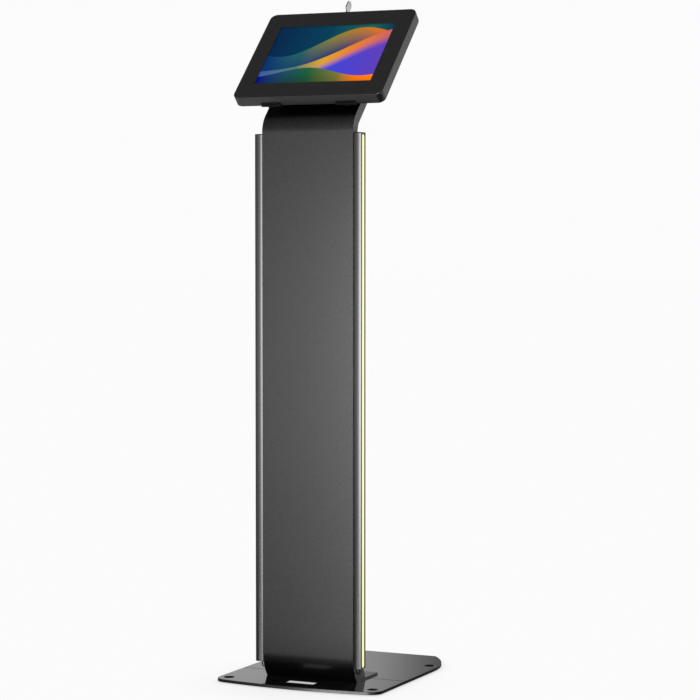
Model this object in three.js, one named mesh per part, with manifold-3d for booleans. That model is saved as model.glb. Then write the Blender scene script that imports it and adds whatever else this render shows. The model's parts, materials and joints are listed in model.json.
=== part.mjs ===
// A free-standing touchscreen kiosk: a tablet in a lockable, tilted head on a bent sheet-metal
// column with a light rail down each side, standing on a flat steel base.
// Millimetres. X runs across the kiosk, -Y is its front, Z is up, and z = 0 is the floor.
// The origin is the middle of the base's underside.

import * as THREE from "three";
import { mergeVertices } from "three/addons/utils/BufferGeometryUtils.js";
import Module from "manifold-3d";

const wasm = await Module();
wasm.setup();

// ---- Driving dimensions ----

const GAP = 0.3; // clearance between neighbouring pieces

const BASE_HALF_WIDTH = 160;
const BASE_FRONT_Y = -192; // middle of the bowed front edge
const BASE_REAR_Y = 192;
const BASE_TOP_Z = 6.7;
const BASE_FRONT_CORNER = [138, -180.1]; // where the bowed front edge meets the corner
const BASE_FRONT_CORNER_LENGTH = 25;
const BASE_REAR_CORNER_Y = 68; // the sides are straight up to here
const BASE_REAR_HALF_WIDTH = 113;
const BASE_SEAM_Y = -60.7;
const BASE_SEAM_GAP = 1.8;
const PAD_WIDTH = 20; // rubber strips under the base
const PAD_LENGTH = 300;
const PAD_HEIGHT = 1.2;
const PAD_X = 112;
const ANCHOR_X = 141; // holes for bolting the base to a floor
const ANCHOR_FRONT_Y = -155.5;
const ANCHOR_REAR_Y = 97;
const ANCHOR_RADIUS = 4.5;
const COUNTERSINK_RADIUS = 10.6;
const COUNTERSINK_DEPTH = 3.6;

const SHEET = 2; // thickness of the bent column sheet
const COLUMN_HALF_WIDTH = 88.65;
const COLUMN_FACE_Y = -125;
const COLUMN_DEPTH = 37;
const FOOT_BEND_Z = 52; // the face is straight from here up to NECK_BEND_Z
const FOOT_BEND_RADIUS = 70;
const NECK_BEND_Z = 975;
const NECK_BEND_RADIUS = 45;
const NECK_DEPTH = 19.1;
const NECK_LENGTH = 180; // straight part behind the head
const TAPER_TOP_Z = 960; // the flanges narrow from the column's depth to the neck's up to here
const TAPER_LENGTH = 45;
const TOE_Z = 41; // the flanges lengthen into a toe below this
const TOE_LENGTH = 17;
const LIP_WIDTH = 12; // inward lips that carry the rear cover
const LIP_BOTTOM_Z = 62;
const LIP_TOP_Z = 895;

const FOOT_PLATE_THICKNESS = 3.3;
const FOOT_PLATE_FRONT_Y = -105.4;
const FOOT_PLATE_REAR_Y = -19.3;

const RAIL_WIDTH = 14.4;
const RAIL_FRONT_Y = -126.2;
const RAIL_REAR_Y = -104.2;
const RAIL_CROWN = 2.2; // how far the rail's front face bulges
const RAIL_BOTTOM_Z = 33.8;
const RAIL_TOP_Z = 973.75;
const RAIL_CAP = 1.5;
const LIGHT_WIDTH = 9.4;
const LIGHT_Y = -113.8;
const LIGHT_BOTTOM_Z = 35;
const LIGHT_TOP_Z = 970.6;
const LIGHT_POCKET_DEPTH = 6;

const TILT = THREE.MathUtils.degToRad(45); // the head leans back this far from vertical
const HEAD_CENTRE_Y = -52.9; // middle of the head's front face
const HEAD_CENTRE_Z = 1118.2;
const HEAD_WIDTH = 289.6;
const HEAD_HEIGHT = 226.6;
const HEAD_DEPTH = 20.2;
const HEAD_CORNER_RADIUS = 13;
const COVER_WALL = 1.5;
const WINDOW_WIDTH = 226.4;
const WINDOW_HEIGHT = 152.7;
const NECK_FACE_DEPTH = 36.8; // from the head's front face back to the neck

const TABLET_WIDTH = 248.6;
const TABLET_HEIGHT = 179.5;
const TABLET_THICKNESS = 7;
const TABLET_CORNER_RADIUS = 18;
const TABLET_FRONT = -2.1; // the tablet's front face, behind the head's front face

const HINGE_Y = -114.2; // hinge axis in the head's own frame
const HINGE_DEPTH = -19.6;
const HINGE_X = 72.4;
const HINGE_LENGTH = 38;
const HINGE_LEAF = 1; // thickness of the leaves
const KNUCKLE_RADIUS = 2.3;
const KNUCKLE_HALF_MIDDLE = 6.8;
const PIN_RADIUS = 1;

const LOCK_DEPTH = -11; // lock axis, behind the head's front face
const LOCK_RADIUS = 6.5;
const LOCK_END_Y = 97;
const PLUG_RADIUS = 4.6;
const KEYWAY_WIDTH = 8.6;
const KEYWAY_THICKNESS = 2.8;
const CAM_STUD_RADIUS = 1.6; // the plug's riveted end that holds the cam
const CAM_HALF_WIDTH = 3;
const CAM_REACH = 8.8;
const CAM_THICKNESS = 2;

const KEY_THICKNESS = 2.2;
const KEY_BLADE_HALF = 4;
const KEY_BLADE_END = 100;
const KEY_BOW_LOW = 125.5;
const KEY_BOW_HIGH = 147.5;
const KEY_BOW_HALF = 8;
const KEY_BOW_OFFSET = 3.4; // the bow stands forward of the blade

const SEGMENTS = 16; // sides of a small round piece
const BEND_STEPS = 8; // flats along each bend of the column

// ---- Materials ----

function finish(color, roughness, metalness) {
  return new THREE.MeshStandardMaterial({ color, roughness, metalness });
}

const POWDER_COAT = finish(0x3c3c3e, 0.55, 0.4);
const GLOSS_BLACK = finish(0x1b1b1d, 0.2, 0.5);
const SATIN_BLACK = finish(0x29292b, 0.45, 0.3);
const ANODISED = finish(0x6f6f72, 0.35, 0.9);
const STEEL = finish(0xb8b8ba, 0.3, 1);
const DARK_STEEL = finish(0x303033, 0.4, 0.9);
const RUBBER = finish(0x151516, 0.9, 0);
const LIGHT = finish(0xfdfdc0, 0.5, 0);
const CIRCUIT = finish(0xe9e6d8, 0.6, 0.1);
const ALUMINIUM = finish(0xa9abb0, 0.35, 0.9);
const GLASS = finish(0x0a0a0c, 0.05, 0);
const DISPLAY = finish(0x1d3f8f, 0.3, 0);

// ---- Solids ----

function toSolid(geometry) {
  const bare = geometry.clone();
  bare.deleteAttribute("normal");
  bare.deleteAttribute("uv");
  const merged = mergeVertices(bare, 1e-4);
  const vertProperties = merged.attributes.position.array;
  const triVerts = new Uint32Array(merged.index.array);
  return new wasm.Manifold(new wasm.Mesh({ numProp: 3, vertProperties, triVerts }));
}

function toGeometry(solid) {
  const { vertProperties, triVerts } = solid.getMesh();
  const geometry = new THREE.BufferGeometry();
  geometry.setAttribute("position", new THREE.BufferAttribute(vertProperties, 3));
  geometry.setIndex(new THREE.BufferAttribute(triVerts, 1));
  return geometry;
}

function join(first, ...others) {
  return toGeometry(others.reduce((solid, other) => solid.add(toSolid(other)), toSolid(first)));
}

function cut(first, ...tools) {
  return toGeometry(tools.reduce((solid, tool) => solid.subtract(toSolid(tool)), toSolid(first)));
}

function common(first, second) {
  return toGeometry(toSolid(first).intersect(toSolid(second)));
}

// A box between two opposite corners.
function block([x0, y0, z0], [x1, y1, z1]) {
  const box = new THREE.BoxGeometry(x1 - x0, y1 - y0, z1 - z0);
  return box.translate((x0 + x1) / 2, (y0 + y1) / 2, (z0 + z1) / 2);
}

function prismAlongZ(shape, bottom, top, curveSegments = 8) {
  const options = { depth: top - bottom, bevelEnabled: false, curveSegments };
  return new THREE.ExtrudeGeometry(shape, options).translate(0, 0, bottom);
}

// The shape's own x and y become Y and Z.
function prismAlongX(shape, left, right, curveSegments = 8) {
  const turn = new THREE.Matrix4().makeBasis(
    new THREE.Vector3(0, 1, 0),
    new THREE.Vector3(0, 0, 1),
    new THREE.Vector3(1, 0, 0),
  );
  const options = { depth: right - left, bevelEnabled: false, curveSegments };
  return new THREE.ExtrudeGeometry(shape, options).applyMatrix4(turn).translate(left, 0, 0);
}

function rodAlongX(radius, left, right, y, z) {
  const rod = new THREE.CylinderGeometry(radius, radius, right - left, SEGMENTS);
  return rod.rotateZ(Math.PI / 2).translate((left + right) / 2, y, z);
}

function rodAlongY(radius, from, to, x, z) {
  const rod = new THREE.CylinderGeometry(radius, radius, to - from, SEGMENTS);
  return rod.translate(x, (from + to) / 2, z);
}

function rodAlongZ(radius, bottom, top, x = 0, y = 0, sides = SEGMENTS) {
  const rod = new THREE.CylinderGeometry(radius, radius, top - bottom, sides);
  return rod.rotateX(Math.PI / 2).translate(x, y, (bottom + top) / 2);
}

// A solid of revolution about Z, from [radius, height] points listed upwards.
function turned(profile) {
  const points = profile.map(([radius, height]) => new THREE.Vector2(radius, height));
  return new THREE.LatheGeometry(points, SEGMENTS).rotateX(Math.PI / 2);
}

function roundedRectangle(width, height, radius) {
  const x = width / 2;
  const y = height / 2;
  const shape = new THREE.Shape();
  shape.moveTo(-x + radius, -y);
  shape.lineTo(x - radius, -y);
  shape.absarc(x - radius, -y + radius, radius, -Math.PI / 2, 0);
  shape.lineTo(x, y - radius);
  shape.absarc(x - radius, y - radius, radius, 0, Math.PI / 2);
  shape.lineTo(-x + radius, y);
  shape.absarc(-x + radius, y - radius, radius, Math.PI / 2, Math.PI);
  shape.lineTo(-x, -y + radius);
  shape.absarc(-x + radius, -y + radius, radius, Math.PI, 1.5 * Math.PI);
  return shape;
}

function cableAlong(points, radius) {
  const path = new THREE.CatmullRomCurve3(points.map((p) => new THREE.Vector3(...p)));
  const section = new THREE.Shape().absarc(0, 0, radius, 0, 2 * Math.PI);
  const options = { steps: 3 * points.length, extrudePath: path, curveSegments: 4 };
  return new THREE.ExtrudeGeometry(section, options);
}

// A screw along Z, its head above z = 0 and its shank below, with a hexagon socket.
function socketScrew(headRadius, headHeight, shankRadius, shankLength) {
  const body = turned([
    [0, -shankLength],
    [shankRadius, -shankLength],
    [shankRadius, 0],
    [headRadius, 0],
    [headRadius, headHeight * 0.85],
    [headRadius * 0.88, headHeight],
    [0, headHeight],
  ]);
  const socket = rodAlongZ(headRadius * 0.5, headHeight * 0.4, headHeight + 1, 0, 0, 6);
  return cut(body, socket);
}

function addPiece(group, name, geometry, material) {
  const mesh = new THREE.Mesh(geometry, material);
  mesh.name = name;
  group.add(mesh);
  return mesh;
}

const kiosk = new THREE.Group();

// Pieces in the head's own frame: x across, y up the face, z out of the face, origin at its middle.
const head = new THREE.Group();
head.position.set(0, HEAD_CENTRE_Y, HEAD_CENTRE_Z);
head.rotation.x = Math.PI / 2 - TILT;
kiosk.add(head);
head.updateMatrixWorld(true);

// ---- Base ----

// The front edge is a shallow bow and the rear corners are cut off by long curves.
function baseOutline() {
  const side = BASE_HALF_WIDTH;
  const [cornerX, cornerY] = BASE_FRONT_CORNER;
  const bowControlY = 2 * BASE_FRONT_Y - cornerY;
  const cornerEndY = cornerY + BASE_FRONT_CORNER_LENGTH;
  const cornerControlY = cornerY + 0.15 * BASE_FRONT_CORNER_LENGTH;
  const rearX = BASE_REAR_HALF_WIDTH;
  const curveStartY = BASE_REAR_CORNER_Y + 38;
  const curveEnd = [rearX + 40, BASE_REAR_Y - 46];
  const shape = new THREE.Shape();
  shape.moveTo(-cornerX, cornerY);
  shape.quadraticCurveTo(0, bowControlY, cornerX, cornerY);
  shape.quadraticCurveTo(side, cornerControlY, side, cornerEndY);
  shape.lineTo(side, BASE_REAR_CORNER_Y);
  shape.bezierCurveTo(side, curveStartY, curveEnd[0], curveEnd[1], rearX, BASE_REAR_Y);
  shape.lineTo(-rearX, BASE_REAR_Y);
  shape.bezierCurveTo(-curveEnd[0], curveEnd[1], -side, curveStartY, -side, BASE_REAR_CORNER_Y);
  shape.lineTo(-side, cornerEndY);
  shape.quadraticCurveTo(-side, cornerControlY, -cornerX, cornerY);
  return shape;
}

function countersink(x, y) {
  const hole = turned([
    [0, PAD_HEIGHT - 1],
    [ANCHOR_RADIUS, PAD_HEIGHT - 1],
    [ANCHOR_RADIUS, BASE_TOP_Z - COUNTERSINK_DEPTH],
    [COUNTERSINK_RADIUS, BASE_TOP_Z],
    [COUNTERSINK_RADIUS, BASE_TOP_Z + 1],
    [0, BASE_TOP_Z + 1],
  ]);
  return hole.translate(x, y, 0);
}

const FOOT_BOLT_X = 62;
const FOOT_BOLT_FRONT_Y = -84;
const FOOT_BOLT_REAR_Y = -38;
const FOOT_BOLT_RADIUS = 3;
const FOOT_BOLT_HOLE_RADIUS = 3.3;
const FOOT_BOLT_LENGTH = 7;
const FOOT_BOLT_HEAD_RADIUS = 5.2;
const FOOT_BOLT_HEAD_HEIGHT = 5;

function basePlate(fromY, toY, anchorY, boltY) {
  const plate = prismAlongZ(baseOutline(), PAD_HEIGHT, BASE_TOP_Z, 14);
  const side = BASE_HALF_WIDTH + 10;
  const half = common(plate, block([-side, fromY, 0], [side, toY, 10]));
  const holes = [-1, 1].flatMap((s) => [
    countersink(s * ANCHOR_X, anchorY),
    rodAlongZ(FOOT_BOLT_HOLE_RADIUS, 0, 10, s * FOOT_BOLT_X, boltY),
  ]);
  return cut(half, ...holes);
}

function buildBase() {
  const seamFront = BASE_SEAM_Y - BASE_SEAM_GAP / 2;
  const seamRear = BASE_SEAM_Y + BASE_SEAM_GAP / 2;
  const front = basePlate(BASE_FRONT_Y - 10, seamFront, ANCHOR_FRONT_Y, FOOT_BOLT_FRONT_Y);
  const rear = basePlate(seamRear, BASE_REAR_Y + 10, ANCHOR_REAR_Y, FOOT_BOLT_REAR_Y);
  addPiece(kiosk, "base_front_plate", front, GLOSS_BLACK);
  addPiece(kiosk, "base_rear_plate", rear, GLOSS_BLACK);
  const pad = prismAlongZ(roundedRectangle(PAD_WIDTH, PAD_LENGTH, PAD_WIDTH / 2 - 1), 0, PAD_HEIGHT, 4);
  for (const [side, s] of [["left", -1], ["right", 1]]) {
    addPiece(kiosk, `base_pad_${side}`, pad.clone().translate(s * PAD_X, 0, 0), RUBBER);
  }
}

// ---- Foot plate and its bolts ----

function buildFoot() {
  const top = BASE_TOP_Z + FOOT_PLATE_THICKNESS;
  const plate = block(
    [-COLUMN_HALF_WIDTH, FOOT_PLATE_FRONT_Y, BASE_TOP_Z],
    [COLUMN_HALF_WIDTH, FOOT_PLATE_REAR_Y, top],
  );
  const places = [];
  for (const [side, s] of [["left", -1], ["right", 1]]) {
    for (const [end, y] of [["front", FOOT_BOLT_FRONT_Y], ["rear", FOOT_BOLT_REAR_Y]]) {
      places.push([`foot_bolt_${end}_${side}`, s * FOOT_BOLT_X, y]);
    }
  }
  const holes = places.map(([, x, y]) => rodAlongZ(FOOT_BOLT_HOLE_RADIUS, 0, 20, x, y));
  addPiece(kiosk, "foot_plate", cut(plate, ...holes), POWDER_COAT);
  for (const [name, x, y] of places) {
    const bolt = socketScrew(
      FOOT_BOLT_HEAD_RADIUS,
      FOOT_BOLT_HEAD_HEIGHT,
      FOOT_BOLT_RADIUS,
      FOOT_BOLT_LENGTH,
    );
    addPiece(kiosk, name, bolt.translate(x, y, top), DARK_STEEL);
  }
}

// ---- Column ----

// The column's face seen from the side, from the foot up, moved back by offset.
function facePoints(offset, overshoot) {
  const footRadius = FOOT_BEND_RADIUS - offset;
  const neckRadius = NECK_BEND_RADIUS - offset;
  const footCentreY = COLUMN_FACE_Y + FOOT_BEND_RADIUS;
  const neckCentreY = COLUMN_FACE_Y + NECK_BEND_RADIUS;
  const footEnd = Math.asin((FOOT_BEND_Z - BASE_TOP_Z + overshoot) / footRadius);
  const points = [];
  for (let i = 0; i <= BEND_STEPS; i++) {
    const a = footEnd * (1 - i / BEND_STEPS);
    points.push([footCentreY - footRadius * Math.cos(a), FOOT_BEND_Z - footRadius * Math.sin(a)]);
  }
  for (let i = 0; i <= BEND_STEPS; i++) {
    const a = (TILT * i) / BEND_STEPS;
    points.push([neckCentreY - neckRadius * Math.cos(a), NECK_BEND_Z + neckRadius * Math.sin(a)]);
  }
  const [y, z] = points.at(-1);
  const reach = NECK_LENGTH + overshoot;
  points.push([y + reach * Math.sin(TILT), z + reach * Math.cos(TILT)]);
  return points;
}

// The rear edge of the side flanges, from the top of the neck down to the foot.
function flangeRearPoints() {
  const neckRear = facePoints(NECK_DEPTH, 0).slice(-BEND_STEPS - 2).reverse();
  return [
    ...neckRear,
    [COLUMN_FACE_Y + NECK_DEPTH, TAPER_TOP_Z],
    [COLUMN_FACE_Y + COLUMN_DEPTH, TAPER_TOP_Z - TAPER_LENGTH],
    [COLUMN_FACE_Y + COLUMN_DEPTH, TOE_Z],
    [COLUMN_FACE_Y + COLUMN_DEPTH + TOE_LENGTH, BASE_TOP_Z],
  ];
}

function outline(points) {
  return new THREE.Shape(points.map(([y, z]) => new THREE.Vector2(y, z)));
}

// The hollow inside the column, open at the rear, the foot and the neck.
function columnHollow() {
  const face = facePoints(SHEET, 2);
  const [topY, topZ] = face.at(-1);
  const behind = 80;
  const shape = outline([
    ...face,
    [topY + behind * Math.cos(TILT), topZ - behind * Math.sin(TILT)],
    [behind, 900],
    [behind, 0],
  ]);
  const inner = COLUMN_HALF_WIDTH - SHEET;
  return prismAlongX(shape, -inner, inner);
}

const SCREW_RADIUS = 2;
const SCREW_HOLE_RADIUS = 2.2;
const COVER_SCREW_X = 80;
const COVER_SCREW_Z = [90, 865];
const PIVOT_HOLE_RADIUS = 12.4;
const SWIVEL_SCREW_CIRCLE = 30;
const CABLE_HOLE_Z = 30;
const CABLE_HOLE_RADIUS = 5;
const RAIL_CABLE_X = 94.8; // where the cable leaves the rail's lower end
const RAIL_CABLE_Y = -112;
const RAIL_CABLE_RADIUS = 1.2;
const RAIL_CABLE_HOLE_RADIUS = 1.6;

function swivelScrewPlaces() {
  return [45, 135, 225, 315].map((degrees) => {
    const a = THREE.MathUtils.degToRad(degrees);
    return [SWIVEL_SCREW_CIRCLE * Math.cos(a), SWIVEL_SCREW_CIRCLE * Math.sin(a)];
  });
}

function neckHoles() {
  const back = -NECK_FACE_DEPTH - 10;
  const front = -NECK_FACE_DEPTH + 10;
  const pivot = rodAlongZ(PIVOT_HOLE_RADIUS, back, front);
  const screws = swivelScrewPlaces().map(([x, y]) => rodAlongZ(SCREW_HOLE_RADIUS, back, front, x, y));
  return [pivot, ...screws].map((hole) => hole.applyMatrix4(head.matrixWorld));
}

function buildColumn() {
  const w = COLUMN_HALF_WIDTH;
  const rearY = COLUMN_FACE_Y + COLUMN_DEPTH;
  const skin = prismAlongX(outline([...facePoints(0, 0), ...flangeRearPoints()]), -w, w);
  const lips = [-1, 1].map((s) => {
    const outer = s * (w - SHEET + 0.5);
    const inner = s * (w - SHEET - LIP_WIDTH);
    const left = Math.min(outer, inner);
    const right = Math.max(outer, inner);
    return block([left, rearY - SHEET, LIP_BOTTOM_Z], [right, rearY, LIP_TOP_Z]);
  });
  const screwHoles = [-1, 1].flatMap((s) =>
    COVER_SCREW_Z.map((z) => rodAlongY(SCREW_HOLE_RADIUS, rearY - 9, rearY + 9, s * COVER_SCREW_X, z)),
  );
  const cableHole = rodAlongX(CABLE_HOLE_RADIUS, -w - 1, w + 1, RAIL_CABLE_Y, CABLE_HOLE_Z);
  const footRoom = block([-w - 1, FOOT_PLATE_FRONT_Y, 0], [w + 1, 0, BASE_TOP_Z + FOOT_PLATE_THICKNESS]);
  const sheet = join(cut(skin, columnHollow()), ...lips);
  const holes = [...neckHoles(), ...screwHoles, cableHole, footRoom];
  addPiece(kiosk, "column_channel", cut(sheet, ...holes), POWDER_COAT);
}

const REAR_COVER_THICKNESS = 1.5;
const INLET_Z = 115;
const INLET_RADIUS = 6;

function buildRearCover() {
  const innerY = COLUMN_FACE_Y + COLUMN_DEPTH;
  const outerY = innerY + REAR_COVER_THICKNESS;
  const half = COLUMN_HALF_WIDTH - 2;
  const plate = block([-half, innerY, LIP_BOTTOM_Z - 2], [half, outerY, LIP_TOP_Z + 3]);
  const holes = [];
  const screws = [];
  for (const [side, s] of [["left", -1], ["right", 1]]) {
    for (const [end, z] of [["bottom", COVER_SCREW_Z[0]], ["top", COVER_SCREW_Z[1]]]) {
      holes.push(rodAlongY(SCREW_HOLE_RADIUS, innerY - 5, outerY + 5, s * COVER_SCREW_X, z));
      screws.push([`rear_cover_screw_${end}_${side}`, s * COVER_SCREW_X, z]);
    }
  }
  const inletHole = rodAlongY(INLET_RADIUS + 0.2, innerY - 5, outerY + 5, 0, INLET_Z);
  addPiece(kiosk, "column_rear_cover", cut(plate, ...holes, inletHole), POWDER_COAT);
  for (const [name, x, z] of screws) {
    const screw = socketScrew(4, 2.4, SCREW_RADIUS, 6).rotateX(-Math.PI / 2);
    addPiece(kiosk, name, screw.translate(x, outerY, z), DARK_STEEL);
  }
  const inlet = turned([
    [0, -14],
    [INLET_RADIUS, -14],
    [INLET_RADIUS, 0],
    [INLET_RADIUS + 2.5, 0],
    [INLET_RADIUS + 2, 2],
    [3.2, 2],
    [3.2, -9],
    [0, -9],
  ]);
  addPiece(kiosk, "power_inlet", inlet.rotateX(-Math.PI / 2).translate(0, outerY, INLET_Z), RUBBER);
}

// ---- Light rails ----

// Each of these makes the right-hand piece; the left-hand one is its mirror image.
function railSection() {
  const inner = COLUMN_HALF_WIDTH + GAP / 2;
  const outer = inner + RAIL_WIDTH;
  const shoulderY = RAIL_FRONT_Y + RAIL_CROWN;
  const steps = 8;
  const points = [[inner, RAIL_REAR_Y]];
  for (let i = 0; i <= steps; i++) {
    const across = i / steps;
    const bulge = RAIL_CROWN * 4 * across * (1 - across);
    points.push([inner + RAIL_WIDTH * across, shoulderY - bulge]);
  }
  points.push([outer, RAIL_REAR_Y]);
  return outline(points);
}

// An upright slot outline with round ends, in Y and Z.
function lightOutline(margin) {
  const width = LIGHT_WIDTH + 2 * margin;
  const height = LIGHT_TOP_Z - LIGHT_BOTTOM_Z + 2 * margin;
  return roundedRectangle(width, height, width / 2 - 0.01);
}

function lightPrism(margin, left, right) {
  const middleZ = (LIGHT_TOP_Z + LIGHT_BOTTOM_Z) / 2;
  return prismAlongX(lightOutline(margin), left, right, 6).translate(0, LIGHT_Y, middleZ);
}

function rail() {
  const outer = COLUMN_HALF_WIDTH + GAP / 2 + RAIL_WIDTH;
  const bar = prismAlongZ(railSection(), RAIL_BOTTOM_Z, RAIL_TOP_Z - RAIL_CAP);
  const pocket = lightPrism(0.25, outer - LIGHT_POCKET_DEPTH, outer + 1);
  const cableHole = rodAlongZ(
    RAIL_CABLE_HOLE_RADIUS,
    RAIL_BOTTOM_Z - 1,
    RAIL_BOTTOM_Z + 10,
    RAIL_CABLE_X,
    RAIL_CABLE_Y,
  );
  return cut(bar, pocket, cableHole);
}

function railCap() {
  return prismAlongZ(railSection(), RAIL_TOP_Z - RAIL_CAP, RAIL_TOP_Z);
}

function lightStrip() {
  const floor = COLUMN_HALF_WIDTH + GAP / 2 + RAIL_WIDTH - LIGHT_POCKET_DEPTH;
  const halfWidth = LIGHT_WIDTH / 2 - 0.8;
  return block(
    [floor, LIGHT_Y - halfWidth, LIGHT_BOTTOM_Z + 5],
    [floor + 1.2, LIGHT_Y + halfWidth, LIGHT_TOP_Z - 5],
  );
}

function diffuser() {
  const outer = COLUMN_HALF_WIDTH + GAP / 2 + RAIL_WIDTH;
  return lightPrism(0, outer - 4, outer - 0.4);
}

// Out of the rail's lower end, down in a loop and in through the column's side.
function railCable() {
  return cableAlong(
    [
      [RAIL_CABLE_X, RAIL_CABLE_Y, RAIL_BOTTOM_Z + 8],
      [RAIL_CABLE_X, RAIL_CABLE_Y, RAIL_BOTTOM_Z + 1],
      [RAIL_CABLE_X + 1.6, RAIL_CABLE_Y, RAIL_BOTTOM_Z - 6],
      [RAIL_CABLE_X + 0.2, RAIL_CABLE_Y, RAIL_BOTTOM_Z - 11],
      [RAIL_CABLE_X - 3.6, RAIL_CABLE_Y, RAIL_BOTTOM_Z - 10.6],
      [COLUMN_HALF_WIDTH - 1, RAIL_CABLE_Y, CABLE_HOLE_Z - 0.8],
      [COLUMN_HALF_WIDTH - 7, RAIL_CABLE_Y, 38],
      [COLUMN_HALF_WIDTH - 10, RAIL_CABLE_Y + 3, 62],
    ],
    RAIL_CABLE_RADIUS,
  );
}

function buildRails() {
  const pieces = [
    ["rail", rail(), ANODISED],
    ["rail_cap", railCap(), RUBBER],
    ["light_strip", lightStrip(), CIRCUIT],
    ["diffuser", diffuser(), LIGHT],
    ["rail_cable", railCable(), RUBBER],
  ];
  for (const [side, s] of [["left", -1], ["right", 1]]) {
    for (const [name, geometry, material] of pieces) {
      const mesh = addPiece(kiosk, `${side}_${name}`, geometry, material);
      mesh.scale.x = s;
    }
  }
}

// ---- Wiring in the column ----

const SUPPLY_HALF_WIDTH = 26;
const SUPPLY_DEPTH = 24;
const SUPPLY_BOTTOM_Z = 150;
const SUPPLY_TOP_Z = 300;

function buildWiring() {
  const faceInside = COLUMN_FACE_Y + SHEET;
  const supply = block(
    [-SUPPLY_HALF_WIDTH, faceInside, SUPPLY_BOTTOM_Z],
    [SUPPLY_HALF_WIDTH, faceInside + SUPPLY_DEPTH, SUPPLY_TOP_Z],
  );
  addPiece(kiosk, "power_supply", supply, RUBBER);
  const cableY = faceInside + SUPPLY_DEPTH / 2;
  const inHead = (y, z) => new THREE.Vector3(0, y, z).applyMatrix4(head.matrixWorld).toArray();
  const cable = cableAlong(
    [
      [0, cableY, SUPPLY_TOP_Z + GAP],
      [0, cableY, 400],
      [0, cableY, 600],
      [0, cableY, 800],
      [0, cableY, 950],
      [0, cableY + 2, 980],
      inHead(-105, -NECK_FACE_DEPTH - 12),
      inHead(-60, -NECK_FACE_DEPTH - 12),
      inHead(-24, -NECK_FACE_DEPTH - 12.5),
      inHead(-7, -NECK_FACE_DEPTH - 14),
      inHead(-0.5, -NECK_FACE_DEPTH - 10),
      inHead(0, -NECK_FACE_DEPTH - 3),
      inHead(0, -NECK_FACE_DEPTH + 12.5),
    ],
    2,
  );
  addPiece(kiosk, "tablet_cable", cable, RUBBER);
}

// ---- Swivel between neck and head ----

const DISC_RADIUS = 52;
const FIXED_DISC_BACK = -NECK_FACE_DEPTH + GAP;
const FIXED_DISC_FRONT = FIXED_DISC_BACK + 4;
const TURN_DISC_BACK = FIXED_DISC_FRONT + GAP;
const BACK_PLATE_REAR = -22.5;
const BACK_PLATE_FRONT = -20.5;
const TURN_DISC_FRONT = BACK_PLATE_REAR - GAP;
const PIVOT_RADIUS = 12;
const PIVOT_BORE = 8;
const STOP_CIRCLE = 42;
const STOP_PIN_RADIUS = 2;

function ring(outer, inner, bottom, top) {
  return turned([[inner, bottom], [outer, bottom], [outer, top], [inner, top], [inner, bottom]]);
}

// The quarter-turn groove that the stop pin runs in.
function stopGroove() {
  const start = THREE.MathUtils.degToRad(-184);
  const end = THREE.MathUtils.degToRad(-86);
  const half = STOP_PIN_RADIUS + GAP;
  const shape = new THREE.Shape();
  shape.absarc(0, 0, STOP_CIRCLE + half, start, end);
  shape.absarc(0, 0, STOP_CIRCLE - half, end, start, true);
  return prismAlongZ(shape, TURN_DISC_BACK - 1, TURN_DISC_BACK + 4);
}

function buildSwivel() {
  const fixed = cut(
    ring(DISC_RADIUS, PIVOT_HOLE_RADIUS, FIXED_DISC_BACK, FIXED_DISC_FRONT),
    ...swivelScrewPlaces().map(([x, y]) =>
      rodAlongZ(SCREW_HOLE_RADIUS, FIXED_DISC_BACK - 1, FIXED_DISC_FRONT + 1, x, y),
    ),
  );
  const stopPin = rodAlongZ(STOP_PIN_RADIUS, FIXED_DISC_BACK, TURN_DISC_BACK + 3, 0, -STOP_CIRCLE);
  addPiece(head, "swivel_fixed_disc", join(fixed, stopPin), DARK_STEEL);
  const turning = ring(DISC_RADIUS, PIVOT_RADIUS + GAP, TURN_DISC_BACK, TURN_DISC_FRONT);
  addPiece(head, "swivel_turning_disc", cut(turning, stopGroove()), DARK_STEEL);
  const tubeBack = -NECK_FACE_DEPTH - SHEET - 6;
  const tube = ring(PIVOT_RADIUS, PIVOT_BORE, tubeBack, BACK_PLATE_FRONT + 2);
  const flange = ring(PIVOT_RADIUS + 5, PIVOT_BORE, BACK_PLATE_FRONT + GAP, BACK_PLATE_FRONT + 2);
  addPiece(head, "swivel_pivot_tube", join(tube, flange), STEEL);
  const nutFront = -NECK_FACE_DEPTH - SHEET - GAP;
  const nut = cut(
    rodAlongZ(19, nutFront - 5, nutFront, 0, 0, 6),
    rodAlongZ(PIVOT_RADIUS + 0.1, nutFront - 6, nutFront + 1),
  );
  addPiece(head, "swivel_pivot_nut", nut, STEEL);
  swivelScrewPlaces().forEach(([x, y], i) => {
    const screw = socketScrew(4, 3, SCREW_RADIUS, 5.5).rotateX(Math.PI).translate(x, y, nutFront);
    addPiece(head, `swivel_screw_${i + 1}`, screw, DARK_STEEL);
  });
}

// ---- Back plate with the tablet's corner clips ----

const CLIP_SIZE = 27;
const CLIP_OUTER_X = 131;
const CLIP_OUTER_Y = 97;

function tabletPrism(margin, back, front) {
  const width = TABLET_WIDTH + 2 * margin;
  const height = TABLET_HEIGHT + 2 * margin;
  return prismAlongZ(roundedRectangle(width, height, TABLET_CORNER_RADIUS + margin), back, front);
}

function cornerClip(sx, sy) {
  const inner = [sx * (CLIP_OUTER_X - CLIP_SIZE), sy * (CLIP_OUTER_Y - CLIP_SIZE)];
  const outer = [sx * CLIP_OUTER_X, sy * CLIP_OUTER_Y];
  const low = inner.map((value, i) => Math.min(value, outer[i]));
  const high = inner.map((value, i) => Math.max(value, outer[i]));
  const body = block([...low, BACK_PLATE_FRONT + GAP], [...high, TABLET_FRONT - 2]);
  const tabletBack = TABLET_FRONT - TABLET_THICKNESS;
  return cut(body, tabletPrism(GAP, tabletBack - GAP, 0));
}

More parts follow.
